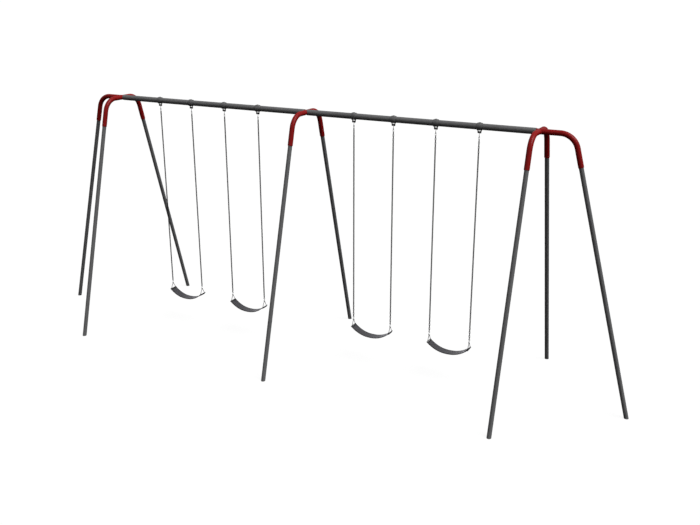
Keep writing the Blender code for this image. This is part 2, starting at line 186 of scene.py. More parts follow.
# Along the base bar and out from its surface
BUTT_WELD = ((-0.004, -0.0004), (-0.002, 0.0002), (0, 0.00028), (0.002, 0.0002), (0.004, -0.0004))
BUTT_WELD_SIDES = 24

# Belt seats
BELT_THICKNESS = 0.010
BELT_SAG = 0.122
BELT_CURVE_POWER = 2.26
BELT_OVERHANG = 0.009
BELT_HALF = CHAIN_OFFSET + BELT_OVERHANG
BELT_LOW_Z = BELT_SURFACE_LOW_Z + BELT_THICKNESS / 2
BELT_END_ROUND = 0.45
PANEL_THICKNESS = 0.0078
PANEL_STEPS = 30
EDGE_BAND = 0.012
EDGE_STEP = 0.003
BELT_CORNER = 0.0036
BELT_CORNER_POWER = 0.8
BELT_CORNER_STEPS = 8
RIB_PITCH = 0.022
RIB_HEIGHT = 0.0010
RIB_STEEPNESS = 1.6
RIB_RUN_OUT = 0.012
PAD_LENGTH = 0.038
PAD_RISE = 0.0012
PAD_STEP = 0.002
STATION_STEP = 0.0021
END_STATIONS = (0.6, 0.3, 0.1, 0.0)
ARC_STEPS = 4000
SLOT_PLAY = 0.0006
SLOT_SIDES = 24
SLOT_REACH = 0.03
SLOT_SAMPLES = 8
RIVET_RADIUS = 0.0062
RIVET_DOME = 0.0026
RIVET_SINK = 0.001
RIVET_ROOM = 0.027
RIVET_ACROSS = 0.034
RIVET_STEPS = 5
RIVET_SIDES = 20

# Shading and mesh limits
SMOOTH_ANGLE = math.radians(40)
LINK_SMOOTH_ANGLE = math.radians(60)
BOLT_SMOOTH_ANGLE = math.radians(25)
SCREW_SMOOTH_ANGLE = math.radians(30)
POLE_RADIUS = 1e-6
MERGE_DISTANCE = 5e-6

# Floor, light and camera
FLOOR_HALF = 300.0
FLOOR_DROP = 0.0005
FLOOR_COLOUR = (0.12, 0.12, 0.12)
FLOOR_ROUGHNESS = 0.9
FLOOR_GLOW = 0.921
HORIZON = (-0.08, 0.12)
SKY_LOW = 0.02
SKY_HIGH = 0.32
SUN_DIRECTION = Vector((0.56, -0.06, 0.83))
SUN_DISTANCE = 10
SUN_STRENGTH = 2.26
SUN_ANGLE = math.radians(40)
CAMERA_PLACE = (6.2483, -10.3522, 5.4571)
CAMERA_TURN = (math.radians(71.386), 0.0, math.radians(28.023))
CAMERA_LENS = 43.24
CAMERA_SENSOR = 36.0
CAMERA_REACH = 1000.0


# Mesh tools

def eased(value):
    """From 0 to 1 with a soft start and end, and no further."""
    value = min(max(value, 0.0), 1.0)
    return value * value * (3 - 2 * value)


def new_object(name, data):
    made = bpy.data.objects.new(name, data)
    bpy.context.scene.collection.objects.link(made)
    return made


def mesh_object(shape, name, materials=()):
    """A new object from a bmesh, which is freed."""
    mesh = bpy.data.meshes.new(name)
    shape.to_mesh(mesh)
    shape.free()
    for material in materials:
        mesh.materials.append(material)
    return new_object(name, mesh)


def smooth(mesh, angle):
    """Smooth shading, with sharp edges where faces meet at more than the angle."""
    mesh.shade_smooth()
    mesh.set_sharp_from_angle(angle=angle)


def finish_piece(shape, name, materials, body, replaced=(), smooth_angle=SMOOTH_ANGLE):
    """Turns a bmesh into a named piece that rides on a body."""
    bmesh.ops.recalc_face_normals(shape, faces=shape.faces)
    piece = mesh_object(shape, name, materials)
    smooth(piece.data, smooth_angle)
    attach(piece, body)
    if replaced:
        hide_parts(*replaced)


def skin(shape, rings, cyclic=False, caps=False):
    """Quads from each ring of points to the next."""
    made = [[shape.verts.new(point) for point in ring] for ring in rings]
    pairs = list(zip(made, made[1:]))
    if cyclic:
        pairs.append((made[-1], made[0]))
    faces = []
    for first, second in pairs:
        count = len(first)
        for i in range(count):
            j = (i + 1) % count
            faces.append(shape.faces.new((first[i], first[j], second[j], second[i])))
    if caps:
        faces.append(shape.faces.new(made[0]))
        faces.append(shape.faces.new(list(reversed(made[-1]))))
    return faces


def ring_at(point, first, second, radius, sides):
    """A circle of points in the plane of two unit vectors."""
    ring = []
    for i in range(sides):
        angle = 2 * math.pi * i / sides
        ring.append(point + (first * math.cos(angle) + second * math.sin(angle)) * radius)
    return ring


def tangents(path, closed):
    """The direction of the path at each of its points."""
    count = len(path)
    result = []
    for i in range(count):
        before = path[i - 1] if closed or i > 0 else path[i]
        after = path[(i + 1) % count] if closed or i < count - 1 else path[i]
        result.append((after - before).normalized())
    return result


def filleted_path(corners, radii, steps, closed=False):
    """Points along straight runs joined by arcs, one radius for each corner."""
    points = []
    count = len(corners)
    for i, corner in enumerate(corners):
        if not closed and i in (0, count - 1):
            points.append(corner.copy())
            continue
        before = (corners[i - 1] - corner).normalized()
        after = (corners[(i + 1) % count] - corner).normalized()
        half = before.angle(after) / 2
        centre = corner + (before + after).normalized() * radii[i] / math.sin(half)
        start = corner + before * radii[i] / math.tan(half) - centre
        turn = math.pi - 2 * half
        axis = start.cross(-before).normalized()
        for step in range(steps + 1):
            points.append(centre + Matrix.Rotation(turn * step / steps, 3, axis) @ start)
    return points


def bar(shape, path, normal, radius, sides, closed=False, tip=0.0):
    """A round bar along a path in the plane across normal.

    Radius may be a list with one value for each point. An open bar's ends are rounded over by
    the tip.
    """
    radii = radius if isinstance(radius, list) else [radius] * len(path)
    rings = []
    for point, along, size in zip(path, tangents(path, closed), radii):
        rings.append(ring_at(point, normal, normal.cross(along), size, sides))
    if not closed and tip:
        first = (path[1] - path[0]).normalized()
        last = (path[-1] - path[-2]).normalized()
        rings.insert(0, ring_at(path[0] - first * tip, normal, normal.cross(first), radii[0] - tip, sides))
        rings.append(ring_at(path[-1] + last * tip, normal, normal.cross(last), radii[-1] - tip, sides))
    skin(shape, rings, cyclic=closed, caps=not closed)


def pipe(shape, path, normal, outer, inner, start_shift=None, end_shift=None):
    """A hollow tube along a flat path, its rims eased by the lip.

    A narrow band next to each lip keeps the lip's shading off the long faces.
    A shift is a function that gives how far along the path a rim's point moves, from its place
    in the ring's own plane, so that the end can be cut to a saddle or to level ground.
    """
    alongs = tangents(path, False)
    alongs[0] = (path[1] - path[0]).normalized()
    alongs[-1] = (path[-1] - path[-2]).normalized()
    last = len(path) - 1

    def circle(i, radius):
        return ring_at(path[i], normal, normal.cross(alongs[i]), radius, TUBE_SIDES)

    def rim(i, radius, inset):
        shift = start_shift if i == 0 else end_shift
        sign = 1 if i == 0 else -1
        ring = []
        for point in circle(i, radius):
            moved = shift(point - path[i]) if shift else 0.0
            ring.append(point + alongs[i] * (moved + sign * inset))
        return ring

    rings = [rim(0, outer - LIP, 0), rim(0, outer, LIP), rim(0, outer, RIM_BAND)]
    rings += [circle(i, outer) for i in range(1, last)]
    rings += [rim(last, outer, RIM_BAND), rim(last, outer, LIP), rim(last, outer - LIP, 0)]
    rings += [rim(last, inner + LIP, 0), rim(last, inner, LIP), rim(last, inner, RIM_BAND)]
    rings += [circle(i, inner) for i in range(last - 1, 0, -1)]
    rings += [rim(0, inner, RIM_BAND), rim(0, inner, LIP), rim(0, inner + LIP, 0)]
    skin(shape, rings, cyclic=True)


def turned(shape, origin, axis, profile, sides):
    """A turned form about an axis, from (along, radius) pairs. A radius of 0 closes its end."""
    side = axis.orthogonal().normalized()
    other = axis.cross(side)
    closed = profile[0][1] > 0 and profile[-1][1] > 0
    rings = []
    for along, radius in profile:
        rings.append(ring_at(origin + axis * along, side, other, max(radius, POLE_RADIUS), sides))
    skin(shape, rings, cyclic=closed)
    if not closed:
        bmesh.ops.remove_doubles(shape, verts=shape.verts, dist=MERGE_DISTANCE)


def rounded(points, radius_at, steps=3):
    """A profile in (along, radius) pairs with an arc of this radius at the points that have one."""
    corners = [Vector((along, radius, 0)) for along, radius in points]
    result = []
    for i, corner in enumerate(corners):
        size = radius_at.get(i, 0)
        if not size:
            result.append((corner.x, corner.y))
            continue
        around = [corners[i - 1], corner, corners[(i + 1) % len(corners)]]
        arc = filleted_path(around, [0, size, 0], steps)
        result += [(point.x, point.y) for point in arc[1:-1]]
    return result


# Material tools. Scales are in cycles for each metre, and bumps in metres

MIX_COLOUR_INPUTS = (6, 7)
MIX_COLOUR_OUTPUT = 2
GRAIN_RANGE = (0.3, 0.7)


def link(tree, start, end):
    tree.links.new(start, end)


def set_inputs(node, values):
    for name, value in values.items():
        node.inputs[name].default_value = value


def noise(tree, place, scale, detail, roughness=0.5):
    node = tree.nodes.new("ShaderNodeTexNoise")
    set_inputs(node, {"Scale": scale, "Detail": detail, "Roughness": roughness})
    link(tree, place, node.inputs["Vector"])
    return node.outputs["Fac"]


def remap(tree, value, old, new=(0, 1)):
    """The value's run from one old end to the other as a run between the new ends."""
    node = tree.nodes.new("ShaderNodeMapRange")
    set_inputs(node, {"From Min": old[0], "From Max": old[1], "To Min": new[0], "To Max": new[1]})
    link(tree, value, node.inputs["Value"])
    return node.outputs["Result"]


def patches(tree, place, scale, between, detail=3.0, roughness=0.5, most=1):
    """From 0 to the most, as a noise of this scale goes between two of its values."""
    return remap(tree, noise(tree, place, scale, detail, roughness), between, (0, most))


def blend_colours(tree, factor, first, second):
    """A colour between two, each a tuple or another node's output."""
    node = tree.nodes.new("ShaderNodeMix")
    node.data_type = "RGBA"
    link(tree, factor, node.inputs["Factor"])
    for index, colour in zip(MIX_COLOUR_INPUTS, (first, second)):
        if isinstance(colour, tuple):
            node.inputs[index].default_value = (*colour, 1)
        else:
            link(tree, colour, node.inputs[index])
    return node.outputs[MIX_COLOUR_OUTPUT]


def scaled(colour, factor):
    return tuple(part * factor for part in colour)


def varied(tree, share, colour, darkest, lightest):
    """The colour times a factor that goes from darkest to lightest with the share."""
    return blend_colours(tree, share, scaled(colour, darkest), scaled(colour, lightest))


def start_material(name, roughness, metallic=0.0, specular=0.5):
    """A new material, its tree, its shader and the output that gives the place on the object."""
    material = bpy.data.materials.new(name)
    material.use_nodes = True
    tree = material.node_tree
    shader = tree.nodes["Principled BSDF"]
    set_inputs(shader, {"Roughness": roughness, "Metallic": metallic, "Specular IOR Level": specular})
    place = tree.nodes.new("ShaderNodeTexCoord").outputs["Object"]
    return material, tree, shader, place


def finish_material(tree, shader, tone, grain, roughness, smoother, rougher, bumps):
    """Links the colour, a roughness that goes with the grain, and a stack of bumps.

    The roughness goes from its value less smoother to its value plus rougher. Each bump is a
    (height output, distance) pair.
    """
    link(tree, tone, shader.inputs["Base Color"])
    rough = remap(tree, grain, GRAIN_RANGE, (roughness - smoother, roughness + rougher))
    link(tree, rough, shader.inputs["Roughness"])
    normal = None
    for height, distance in bumps:
        node = tree.nodes.new("ShaderNodeBump")
        set_inputs(node, {"Distance": distance, "Strength": 1.0})
        link(tree, height, node.inputs["Height"])
        if normal is not None:
            link(tree, normal, node.inputs["Normal"])
        normal = node.outputs["Normal"]
    link(tree, normal, shader.inputs["Normal"])


# Powder coat
DUST_GAIN = 1.25
DUST_LIFT = 0.008
PEEL_HEIGHT = 0.00004
CHIP_DEPTH = 0.00010


def paint_material(name, colour, roughness, chip_colour, specular=0.5):
    """Powder coat: broad drifts of tone, dust, orange peel and a few small chips."""
    material, tree, shader, place = start_material(name, roughness, specular=specular)
    drift = patches(tree, place, scale=2.5, between=(0.35, 0.65))
    tone = varied(tree, drift, colour, darkest=0.92, lightest=1.08)
    dust = patches(tree, place, scale=38, detail=5, roughness=0.65, between=(0.52, 0.75), most=0.12)
    tone = blend_colours(tree, dust, tone, tuple(part * DUST_GAIN + DUST_LIFT for part in colour))
    chips = patches(tree, place, scale=95, detail=2, roughness=0.4, between=(0.735, 0.755))
    tone = blend_colours(tree, chips, tone, chip_colour)
    grain = noise(tree, place, scale=26, detail=4)
    peel = noise(tree, place, scale=520, detail=1, roughness=0.4)
    bumps = [(peel, PEEL_HEIGHT), (chips, -CHIP_DEPTH)]
    finish_material(tree, shader, tone, grain, roughness, smoother=0.05, rougher=0.07, bumps=bumps)
    return material


# Galvanised steel
SPANGLE_SCALE = 240
SPANGLE_RANGE = (0.0, 0.7)
SPANGLE_HEIGHT = 0.00002
DRAW_HEIGHT = 0.00006
DULL_TONE = 0.68


def zinc_material(name, colour, roughness, metallic=1.0):
    """Galvanised steel with spangles, dull patches and a fine grain."""
    material, tree, shader, place = start_material(name, roughness, metallic=metallic)
    cells = tree.nodes.new("ShaderNodeTexVoronoi")
    set_inputs(cells, {"Scale": SPANGLE_SCALE})
    link(tree, place, cells.inputs["Vector"])
    spangle = remap(tree, cells.outputs["Distance"], SPANGLE_RANGE)
    tone = varied(tree, spangle, colour, darkest=0.86, lightest=1.12)
    dull = patches(tree, place, scale=60, detail=4, between=(0.45, 0.7), most=0.5)
    tone = blend_colours(tree, dull, tone, scaled(colour, DULL_TONE))
    grain = noise(tree, place, scale=90, detail=3)
    draw = noise(tree, place, scale=900, detail=2)
    bumps = [(draw, DRAW_HEIGHT), (spangle, SPANGLE_HEIGHT)]
    finish_material(tree, shader, tone, grain, roughness, smoother=0.08, rougher=0.12, bumps=bumps)
    return material


# Painted casting
RUBBED_TONE = 1.9
SAND_HEIGHT = 0.0003


def cast_material(name, colour, roughness):
    """Painted casting: a sand-cast skin under the paint."""
    material, tree, shader, place = start_material(name, roughness)
    drift = patches(tree, place, scale=30, detail=4, between=(0.35, 0.65))
    tone = varied(tree, drift, colour, darkest=0.85, lightest=1.15)
    rub = patches(tree, place, scale=160, detail=3, between=(0.68, 0.74), most=0.6)
    tone = blend_colours(tree, rub, tone, scaled(colour, RUBBED_TONE))
    grain = noise(tree, place, scale=120, detail=3)
    sand = noise(tree, place, scale=380, detail=4, roughness=0.6)
    bumps = [(sand, SAND_HEIGHT)]
    finish_material(tree, shader, tone, grain, roughness, smoother=0.06, rougher=0.1, bumps=bumps)
    return material


# Rubber and dipped plastic
SCUFF_TONE = 1.45
SHEEN_ROUGHNESS = 0.4
SHEEN_TINT = (0.90, 0.89, 0.95, 1)


def rubber_material(name, colour, roughness, skin_scale=700, skin_height=0.0001, specular=0.5, sheen=0.0):
    """Moulded rubber or dipped plastic: a fine skin, scuffs and slight bloom."""
    material, tree, shader, place = start_material(name, roughness, specular=specular)
    set_inputs(shader, {
        "Sheen Weight": sheen, "Sheen Roughness": SHEEN_ROUGHNESS, "Sheen Tint": SHEEN_TINT,
    })
    bloom = patches(tree, place, scale=14, detail=4, roughness=0.6, between=(0.4, 0.7))
    tone = varied(tree, bloom, colour, darkest=0.9, lightest=1.18)
    scuffs = patches(tree, place, scale=130, detail=4, roughness=0.7, between=(0.6, 0.7), most=0.5)
    tone = blend_colours(tree, scuffs, tone, scaled(colour, SCUFF_TONE))
    grain = noise(tree, place, scale=55, detail=3)
    bumps = [(noise(tree, place, skin_scale, detail=2), skin_height)]
    finish_material(tree, shader, tone, grain, roughness, smoother=0.07, rougher=0.08, bumps=bumps)
    return material


# Materials

GREY_PAINT = paint_material(
    "grey_powder_coat", (0.180, 0.180, 0.183), roughness=0.42, chip_colour=(0.060, 0.060, 0.062)
)
RED_PAINT = paint_material(
    "red_powder_coat", (0.325, 0.009, 0.009), roughness=0.34, chip_colour=(0.130, 0.005, 0.006),
    specular=0.18,
)
CAST_PAINT = cast_material("hanger_casting", (0.150, 0.150, 0.153), roughness=0.45)
# The bail and bobbin are painted lighter than the collar. This is painted light that lifts the shade under
# the collar.
BAIL_PAINT_LIFTED_FOR_SHADE = cast_material("bail_paint_lifted_for_shade", (0.180, 0.180, 0.183), roughness=0.45)
ZINC = zinc_material("galvanised_steel", (0.72, 0.73, 0.74), roughness=0.38)
BRIGHT_ZINC = zinc_material("bright_zinc", (0.86, 0.87, 0.88), roughness=0.45, metallic=0.25)
# The triangles' wire is painted near black. This is painted shade for the shade under the belt, not the
# wire's own colour.
TRIANGLE_WIRE_PAINTED_SHADE = zinc_material("triangle_wire_painted_shade", (0.05, 0.05, 0.05), roughness=0.40)
RIVET_STEEL = zinc_material("dark_rivet", (0.12, 0.12, 0.12), roughness=0.42)
BOLT_ZINC = zinc_material("plated_bolt", (0.50, 0.50, 0.49), roughness=0.34)
CHAIN_COAT = rubber_material(
    "dipped_chain_coat", (0.030, 0.030, 0.032), roughness=0.55, skin_scale=500, skin_height=0.0002,
    specular=0.2,
)
BELT_PANEL = rubber_material("belt_panel_rubber", (0.060, 0.058, 0.066), roughness=0.42, sheen=1.0)
BELT_EDGE = rubber_material("belt_edge_rubber", (0.019, 0.018, 0.020), roughness=0.45, sheen=0.1)


# Frame: rails, yokes and legs

def hub(x):
    """The point on the top rail's axis at this place along it."""
    return Vector((x, 0, RAIL_Z))


def leg_direction(outward):
    """Down along a leg that leans outward."""
    return outward * math.sin(LEG_TILT) - UP * math.cos(LEG_TILT)


def sleeve_end(x, outward, reach, extra=0.0):
    """The middle of a sleeve's lower rim, or a point beyond it by the extra along the leg."""
    along = SLEEVE_DROP / math.cos(LEG_TILT) + extra
    return hub(x) + outward * reach + leg_direction(outward) * along


def saddle(radius):
    """How far a tube that meets this yoke tube square on starts from its axis, for a rim point."""
    def shift(offset):
        return math.sqrt(max(radius**2 - offset.z**2, 0.0))
    return shift


def make_rail(name, middle_side, outer_x):
    """A rail from the middle yoke, which its end is cut round, to its plain outer end."""
    direction = RIGHT * middle_side
    cope = saddle(YOKE_RADIUS + FIT)

    def rim_shift(offset):
        return max(cope(offset), RAIL_INNER_END)

    shape = bmesh.new()
    path = [hub(FRAME_X["middle"]), hub(outer_x)]
    pipe(shape, path, direction.cross(UP), RAIL_RADIUS, RAIL_RADIUS - RAIL_WALL, start_shift=rim_shift)
    finish_piece(shape, f"{name}_tube", [GREY_PAINT], "frame", [name])


def weld_bead(shape, x, direction, radius):
    """A rippled bead where a tube of this radius meets the yoke's own tube square on."""
    meet = saddle(YOKE_RADIUS)
    normals = []
    path = []
    radii = []
    count = RIPPLE_STEPS * BEAD_RIPPLES
    for i in range(count):
        angle = 2 * math.pi * i / count
        out = REAR * math.cos(angle) + UP * math.sin(angle)
        offset = out * radius
        path.append(hub(x) + offset + direction * meet(offset))
        normals.append(out)
        radii.append(BEAD_RADIUS + BEAD_RIPPLE * math.sin(BEAD_RIPPLES * angle))
    rings = []
    for point, along, out, size in zip(path, tangents(path, True), normals, radii):
        flat = (out - along * out.dot(along)).normalized()
        rings.append(ring_at(point, flat, flat.cross(along), size, BEAD_SIDES))
    skin(shape, rings, cyclic=True)


def make_yoke(place, stub_sides, outward=None):
    """A bent tube over the hub, the stubs in the rails, an outer arm on a tripod, and the welds."""
    x = FRAME_X[place]
    shape = bmesh.new()
    inner = YOKE_RADIUS - YOKE_WALL
    corners = [
        sleeve_end(x, FRONT, SIDE_ARM_REACH),
        hub(x) + FRONT * SIDE_ARM_REACH,
        hub(x) + REAR * SIDE_ARM_REACH,
        sleeve_end(x, REAR, SIDE_ARM_REACH),
    ]
    path = filleted_path(corners, [0, BEND_RADIUS, BEND_RADIUS, 0], BEND_STEPS)
    pipe(shape, path, RIGHT, YOKE_RADIUS, inner)
    sunk = saddle(YOKE_RADIUS - YOKE_WALL / 2)
    if outward is not None:
        corners = [
            hub(x),
            hub(x) + outward * OUTER_ARM_REACH,
            sleeve_end(x, outward, OUTER_ARM_REACH),
        ]
        path = filleted_path(corners, [0, BEND_RADIUS, 0], BEND_STEPS)
        pipe(shape, path, REAR, YOKE_RADIUS - FIT, inner - FIT, start_shift=sunk)
        weld_bead(shape, x, outward, YOKE_RADIUS - FIT)
    stub = RAIL_RADIUS - RAIL_WALL - FIT
    for side in stub_sides:
        path = [hub(x), hub(x) + side * STUB_LENGTH]
        pipe(shape, path, REAR, stub, stub - STUB_WALL, start_shift=sunk)
    finish_piece(shape, f"yoke_{place}_tube", [RED_PAINT], "frame", [f"yoke_{place}"])


def make_leg(label, x, outward, reach):
    """A pipe from inside its sleeve to the ground, cut level there."""
    top = sleeve_end(x, outward, reach, -LEG_INSERTION)
    foot = top + leg_direction(outward) * (top.z / math.cos(LEG_TILT))

    def level(offset):
        return offset.z / math.cos(LEG_TILT)

    shape = bmesh.new()
    pipe(shape, [top, foot], outward.cross(UP), LEG_RADIUS, LEG_RADIUS - LEG_WALL, end_shift=level)
    finish_piece(shape, f"leg_{label}_pipe", [GREY_PAINT], "frame", [f"leg_{label}"])


def make_bolt(name, seat, axis):
    """A hexagon head on its washer, its seat sunk a little in the tube's curve."""
    shape = bmesh.new()
    washer = rounded(
        [
            (-WASHER_HEIGHT, 0), (-WASHER_HEIGHT, WASHER_RADIUS),
            (WASHER_HEIGHT, WASHER_RADIUS), (WASHER_HEIGHT, 0),
        ],
        {2: WASHER_EDGE},
    )
    turned(shape, seat, axis, washer, WASHER_SIDES)
    side = axis.orthogonal().normalized()
    other = axis.cross(side)
    rings = []
    for along, size in (
        (WASHER_HEIGHT, 1.0),
        (WASHER_HEIGHT + BOLT_HEAD * BOLT_CHAMFER_START, 1.0),
        (WASHER_HEIGHT + BOLT_HEAD, BOLT_CHAMFER_SIZE),
    ):
        radius = BOLT_FLAT_RADIUS * size / math.cos(HEX_HALF_SIDE)
        rings.append(ring_at(seat + axis * along, side, other, radius, HEX_SIDES))
    skin(shape, rings, caps=True)
    finish_piece(shape, name, [BOLT_ZINC], "frame", smooth_angle=BOLT_SMOOTH_ANGLE)


def make_sleeve_bolt(label, x, outward, reach):
    """The bolt that keeps a leg in its sleeve, on the rear face."""
    point = sleeve_end(x, outward, reach, -SLEEVE_BOLT_RAISE)
    if abs(outward.y) > 0:
        axis = REAR * math.cos(LEG_TILT) + UP * math.sin(LEG_TILT) * outward.y
    else:
        axis = REAR
    make_bolt(f"sleeve_bolt_{label}", point + axis * YOKE_RADIUS, axis)


# Hangers

def make_hanger(label, x):
    """A cast collar round the rail with a set-screw boss on top and a bail below.

    The bail's bar is a bobbin, and the hook sits in its groove.
    """
    centre = hub(x)
    bore = RAIL_RADIUS + FIT
    half = COLLAR_WIDTH / 2
    shape = bmesh.new()
    collar = rounded(
        [(-half, bore), (-half, COLLAR_OUTER), (half, COLLAR_OUTER), (half, bore)],
        {1: COLLAR_EDGE, 2: COLLAR_EDGE}, COLLAR_EDGE_STEPS,
    )
    turned(shape, centre, RIGHT, collar, TUBE_SIDES)
    boss_foot = COLLAR_OUTER - BOSS_SINK
    hole_bottom = BOSS_TOP - SCREW_HOLE_DEPTH
    chamfer_width, chamfer_depth = SCREW_HOLE_CHAMFER
    boss = rounded(
        [
            (boss_foot, 0), (boss_foot, BOSS_FOOT_RADIUS), (BOSS_TOP, BOSS_TOP_RADIUS),
            (BOSS_TOP, SCREW_RADIUS + chamfer_width), (BOSS_TOP - chamfer_depth, SCREW_RADIUS),
            (hole_bottom, SCREW_RADIUS), (hole_bottom, 0),
        ],
        {2: BOSS_EDGE},
    )
    turned(shape, centre, UP, boss, CASTING_SIDES)
    collar_faces = len(shape.faces)
    reach = BAIL_SPAN / 2
    root_z = RAIL_Z - COLLAR_OUTER + BAIL_SINK
    corners = [
        Vector((x - reach, 0, root_z)), Vector((x - reach, 0, PIVOT_Z)),
        Vector((x + reach, 0, PIVOT_Z)), Vector((x + reach, 0, root_z)),
    ]
    path = filleted_path(corners, [0, BAIL_CORNER, BAIL_CORNER, 0], CORNER_STEPS)
    bar(shape, path, REAR, BAIL_RADIUS, BAIL_SIDES)
    neck = BAIL_RADIUS - BOBBIN_SINK
    flange = rounded(
        [
            (BOBBIN_GROOVE / 2, neck), (BOBBIN_GROOVE / 2, BOBBIN_RADIUS),
            (reach, BOBBIN_RADIUS), (reach, neck),
        ],
        {1: GROOVE_EDGE, 2: BOBBIN_EDGE},
    )
    for side in (-1, 1):
        turned(shape, Vector((x, 0, PIVOT_Z)), RIGHT * side, flange, CASTING_SIDES)
        root = Vector((x + side * reach, 0, RAIL_Z - COLLAR_OUTER - ROOT_DROP))
        ring = ring_at(root, RIGHT, REAR, BAIL_RADIUS, ROOT_STEPS)
        for point in ring:
            point.z -= math.sqrt(COLLAR_OUTER**2 - point.y**2) - COLLAR_OUTER
        bar(shape, ring, UP, ROOT_RADIUS, BEAD_SIDES, closed=True)
    for face in list(shape.faces)[collar_faces:]:
        face.material_index = 1
    # The bail, bobbin and roots take the lighter paint, as painted light in the shade under the collar.
    materials = [CAST_PAINT, BAIL_PAINT_LIFTED_FOR_SHADE]
    finish_piece(
        shape, f"hanger_{label}_casting", materials, "frame", [f"hanger_{label}"]
    )
    make_set_screw(label, centre)


def make_set_screw(label, centre):
    """A hollow hexagon set screw, a little below the top of its boss."""
    shape = bmesh.new()
    top = BOSS_TOP - SCREW_TOP_DEPTH
    low = BOSS_TOP - SCREW_LOW_DEPTH
    radius = SCREW_RADIUS - FIT

    def circle(height, size):
        return ring_at(centre + UP * height, RIGHT, REAR, size, SCREW_SIDES)

    def hexagon(height):
        ring = []
        for i in range(SCREW_SIDES):
            angle = 2 * math.pi * i / SCREW_SIDES
            inside = (angle + HEX_HALF_SIDE) % (2 * HEX_HALF_SIDE) - HEX_HALF_SIDE
            size = SOCKET_RADIUS * math.cos(HEX_HALF_SIDE) / math.cos(inside)
            out = RIGHT * math.cos(angle) + REAR * math.sin(angle)
            ring.append(centre + UP * height + out * size)
        return ring

    rings = [
        circle(low, radius), circle(top - SCREW_CHAMFER, radius), circle(top, radius - SCREW_CHAMFER),
        hexagon(top), hexagon(top - SOCKET_DEPTH),
    ]
    skin(shape, rings, caps=True)
    finish_piece(
        shape, f"set_screw_{label}", [BOLT_ZINC], "frame", smooth_angle=SCREW_SMOOTH_ANGLE
    )


# Hooks, chains and triangles

def hook_path(upper, across, spacing):
    """An S in the plane of across and up, its upper eye centred on this point."""
    lean = math.asin(2 * HOOK_EYE_RADIUS / spacing)
    clear = math.acos(1 - (2 * HOOK_RADIUS + HOOK_MOUTH) / HOOK_EYE_RADIUS)
    tip = 2 * math.pi - clear - lean
    points = []
    for step in range(EYE_STEPS + 1):
        angle = tip + (-lean - tip) * step / EYE_STEPS
        points.append(upper + (across * math.cos(angle) + UP * math.sin(angle)) * HOOK_EYE_RADIUS)
    middle = upper - UP * spacing / 2
    return points + [2 * middle - point for point in reversed(points)]


def make_hook(node, upper, across, spacing, body, finish):
    """An S-hook of one wire, its upper eye centred on this point."""
    shape = bmesh.new()
    path = hook_path(upper, across, spacing)
    bar(shape, path, across.cross(UP), HOOK_RADIUS, WIRE_SIDES, tip=HOOK_TIP)
    finish_piece(shape, f"{node}_wire", [finish], body, [node])


def add_link(shape, middle, across, straight_radius, crown_radius):
    """One chain link that stands upright in the plane of across and up, thinner where it bears."""
    half = LINK_LENGTH / 2
    turn = LINK_WIDTH / 2
    path = []
    radii = []
    for end, start in ((1, 0.0), (-1, math.pi)):
        for step in range(2 * LINK_STEPS + 1):
            angle = start + math.pi * step / (2 * LINK_STEPS)
            rise = math.sin(angle) * turn + end * (half - turn)
            offset = across * math.cos(angle) * turn + UP * rise
            path.append(middle + offset)
            crown = abs(math.sin(angle)) ** LINK_CROWN_POWER
            radii.append(straight_radius + (crown_radius - straight_radius) * crown)
    bar(shape, path, across.cross(UP), radii, LINK_SIDES, closed=True)


def make_chain(n, side, x):
    """Straight-link chain with a slight twist.

    Its first link is bare, and the rest are dipped in plastic.
    """
    top = PIVOT_Z - UPPER_HOOK_SPACING - HOOK_EYE_RADIUS + HOOK_RADIUS + FIT + LINK_RADIUS
    bottom = TILT_Z + HOOK_EYE_RADIUS + LOWER_HOOK_SPACING + HOOK_EYE_RADIUS - HOOK_RADIUS - FIT
    bottom -= LINK_RADIUS + LINK_COAT
    bare_pitch = LINK_LENGTH - 2 * LINK_RADIUS
    count = 2 * round((top - bottom - 2 * LINK_RADIUS) / bare_pitch / 2)
    pitch = (top - bottom - LINK_LENGTH) / (count - 1)
    bearing = (LINK_LENGTH - pitch) / 2
    first = top - LINK_LENGTH / 2
    name = f"chain_{n}_{side}"
    body = f"swing_{n}"
    shape = bmesh.new()
    add_link(shape, Vector((x, 0, first)), RIGHT, LINK_RADIUS, bearing)
    finish_piece(
        shape, f"{name}_bare_link", [BRIGHT_ZINC], body, smooth_angle=LINK_SMOOTH_ANGLE
    )
    shape = bmesh.new()
    twist = CHAIN_TWIST + CHAIN_TWIST_RATE * x
    for i in range(1, count):
        angle = twist * eased(min(i, count - 1 - i) / TWIST_LINKS) + math.pi / 2 * (i % 2)
        across = RIGHT * math.cos(angle) + REAR * math.sin(angle)
        middle = Vector((x, 0, first - i * pitch))
        add_link(shape, middle, across, LINK_RADIUS + DIP_THICKNESS, bearing)
    finish_piece(shape, f"{name}_links", [CHAIN_COAT], body, [name], LINK_SMOOTH_ANGLE)


def triangle_path(x):
    """Round the hook's bottom wire at the apex and under the belt at the base."""
    half = TRIANGLE_BASE / 2
    apex_radius = HOOK_RADIUS + FIT + TRIANGLE_RADIUS
    reach = math.hypot(half, TRIANGLE_HEIGHT)
    rise = math.atan2(TRIANGLE_HEIGHT, half) + math.asin(apex_radius / reach)
    corners = [
        Vector((x, 0, TRIANGLE_BASE_Z + half * math.tan(rise))),
        Vector((x, half, TRIANGLE_BASE_Z)),
        Vector((x, -half, TRIANGLE_BASE_Z)),
    ]
    return filleted_path(corners, [apex_radius, TRIANGLE_CORNER, TRIANGLE_CORNER], CORNER_STEPS, True)


